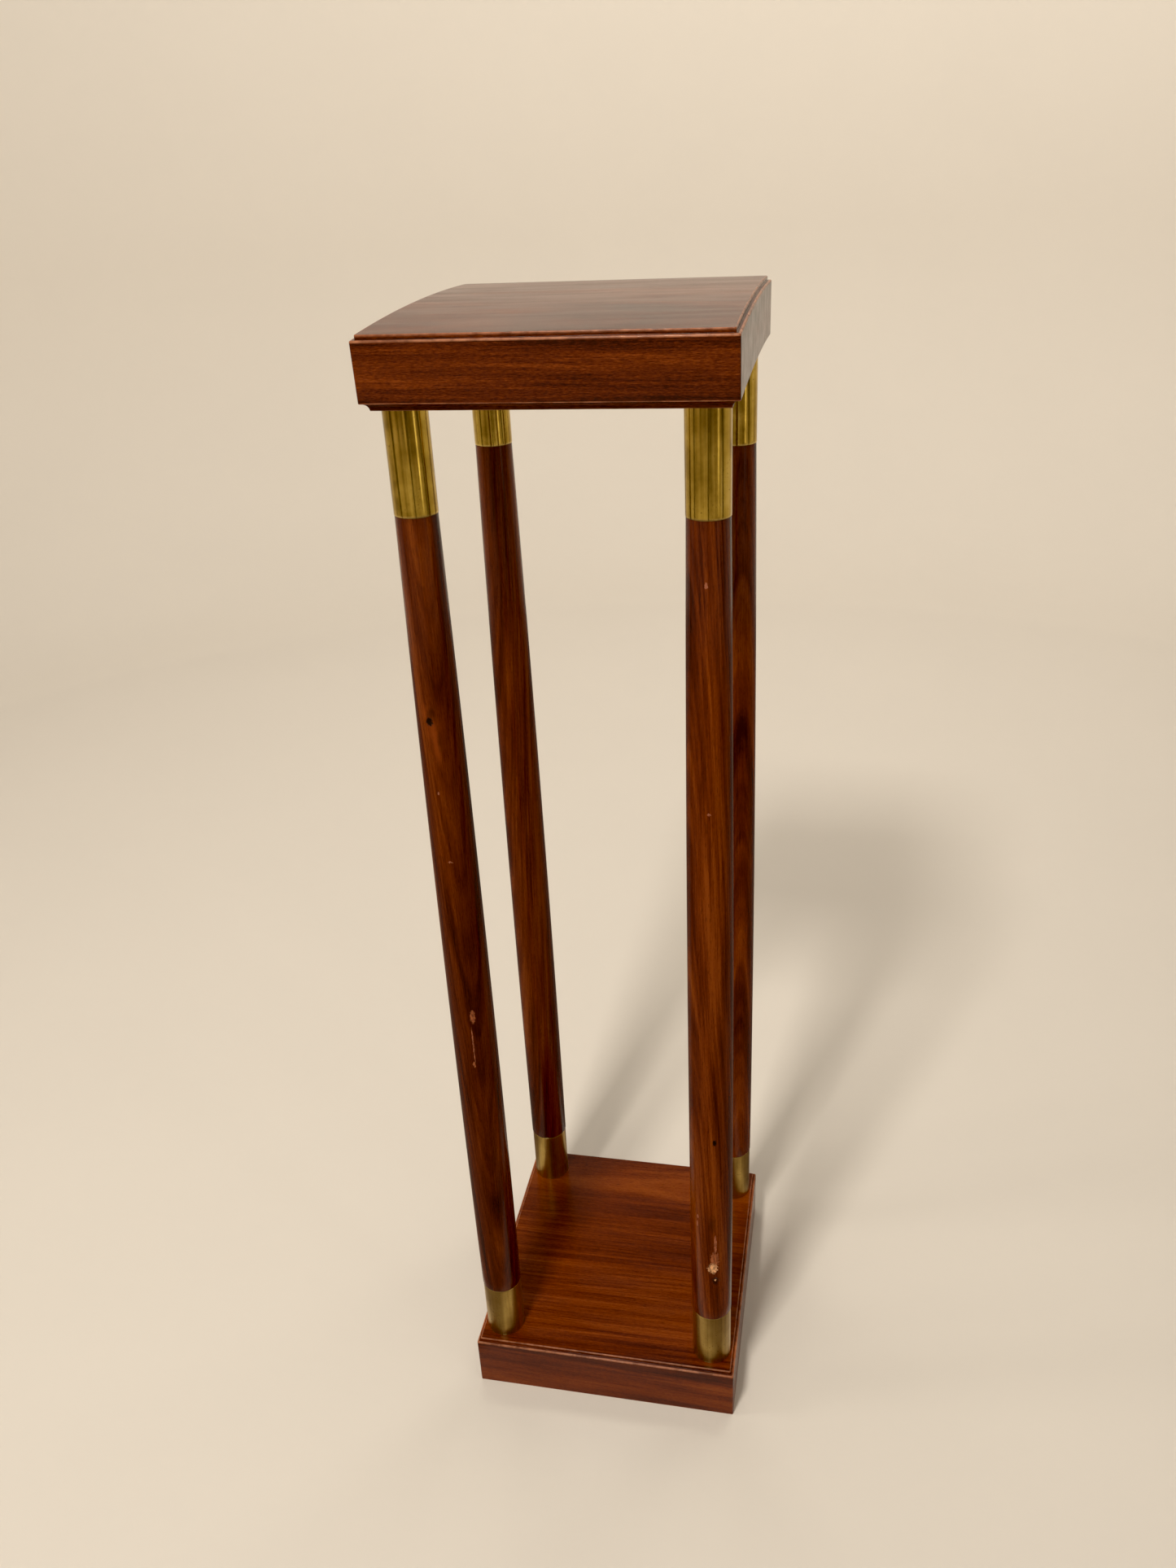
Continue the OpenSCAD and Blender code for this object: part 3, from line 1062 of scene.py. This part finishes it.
def upright_card(name, radius, start, stop, height, face):
    """A curved card standing round the pedestal between two bearings in degrees."""
    bm = bmesh.new()
    columns = []
    for t in arc(48, start, stop):
        place = (radius * math.cos(t), radius * math.sin(t))
        columns.append([bm.verts.new((*place, level)) for level in (0.002, height)])
    for first, second in zip(columns, columns[1:]):
        bm.faces.new((first[0], second[0], second[1], first[1]))
    show_to_gloss_only(make_object(name, bm), face)


def build_cards():
    """Stands in for the room that the photograph's lacquer and brass mirror."""
    upright_card("card_room", 3.2, 190, 350, 2.4, room_face("room_face"))
    dark = pale_surface("card_dark", lin(62, 54, 46))
    upright_card("card_person", 1.42, 278, 283, 1.75, dark)
    upright_card("card_right", 2.6, 346, 352, 2.4, dark)
    upright_card("card_left", 2.6, 206, 212, 2.4, dark)
    carpet = lathe("card_carpet", [(0.24, MM, 0), (2.4, MM, 0)], Vector((0, 0, 0)), segments=64)
    show_to_gloss_only(carpet, pale_surface("card_grey", lin(122, 108, 98)))


def area_light(name, place, target, size, power, colour):
    """A rectangular soft light at place, turned to target, with its power in watts."""
    data = bpy.data.lights.new(name, "AREA")
    data.shape = "RECTANGLE"
    data.size, data.size_y = size
    data.energy = power
    data.color = colour
    lamp = bpy.data.objects.new(name, data)
    lamp.location = place
    lamp.rotation_euler = (Vector(target) - Vector(place)).to_track_quat("-Z", "Y").to_euler()
    bpy.context.scene.collection.objects.link(lamp)


def build_lights():
    """A key light high in front, three weak fills, one light for the wall, and faint light all round."""
    warm = (1.0, 0.94, 0.86)
    area_light("key", (-0.39, -1.8, 3.05), (0, 0, 0.5), (0.42, 0.42), 74, warm)
    area_light("overhead", (-0.1, -0.1, 3.2), (0, 0, 0.9), (0.8, 0.8), 5, warm)
    area_light("side", (-2.3, -0.6, 1.9), (0, 0, 0.5), (0.5, 0.9), 9, warm)
    area_light("strip_right", (1.9, -1.3, 1.3), (0, 0, 0.7), (0.2, 2.0), 2, warm)
    area_light("backdrop", (0.2, 1.3, 3.2), (-0.3, 3.4, 0.9), (2.4, 0.8), 52, warm)
    world = bpy.data.worlds.new("studio_air")
    world.use_nodes = True
    background = world.node_tree.nodes["Background"]
    background.inputs["Color"].default_value = (1.0, 0.95, 0.88, 1)
    background.inputs["Strength"].default_value = 0.08
    bpy.context.scene.world = world


def build_camera():
    """The camera at the photograph's viewing angle."""
    data = bpy.data.cameras.new("camera")
    data.sensor_width = 36
    data.lens = CAMERA_LENS
    data.clip_start, data.clip_end = 0.01, 50
    camera = bpy.data.objects.new("camera", data)
    turn = Matrix.Rotation(-CAMERA_YAW, 4, "Z")
    tilt = Matrix.Rotation(math.pi / 2 - CAMERA_PITCH, 4, "X")
    roll = Matrix.Rotation(CAMERA_ROLL, 4, "Z")
    camera.matrix_world = Matrix.Translation(CAMERA_PLACE) @ turn @ tilt @ roll
    bpy.context.scene.collection.objects.link(camera)
    bpy.context.scene.camera = camera


def set_exposure():
    """A plain display curve that drops the darkest light to black."""
    view = bpy.context.scene.view_settings
    view.view_transform = "Standard"
    view.use_curve_mapping = True
    view.curve_mapping.black_level = (CAMERA_BLACK,) * 3
    view.curve_mapping.update()


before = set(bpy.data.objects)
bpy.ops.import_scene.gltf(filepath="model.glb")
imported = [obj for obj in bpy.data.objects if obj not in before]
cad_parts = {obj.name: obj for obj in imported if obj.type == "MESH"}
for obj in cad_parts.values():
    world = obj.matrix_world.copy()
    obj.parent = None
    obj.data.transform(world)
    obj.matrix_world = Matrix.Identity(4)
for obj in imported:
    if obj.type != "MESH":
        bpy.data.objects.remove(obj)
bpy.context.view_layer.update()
build_pedestal()
build_studio()
build_cards()
build_lights()
build_camera()
set_exposure()
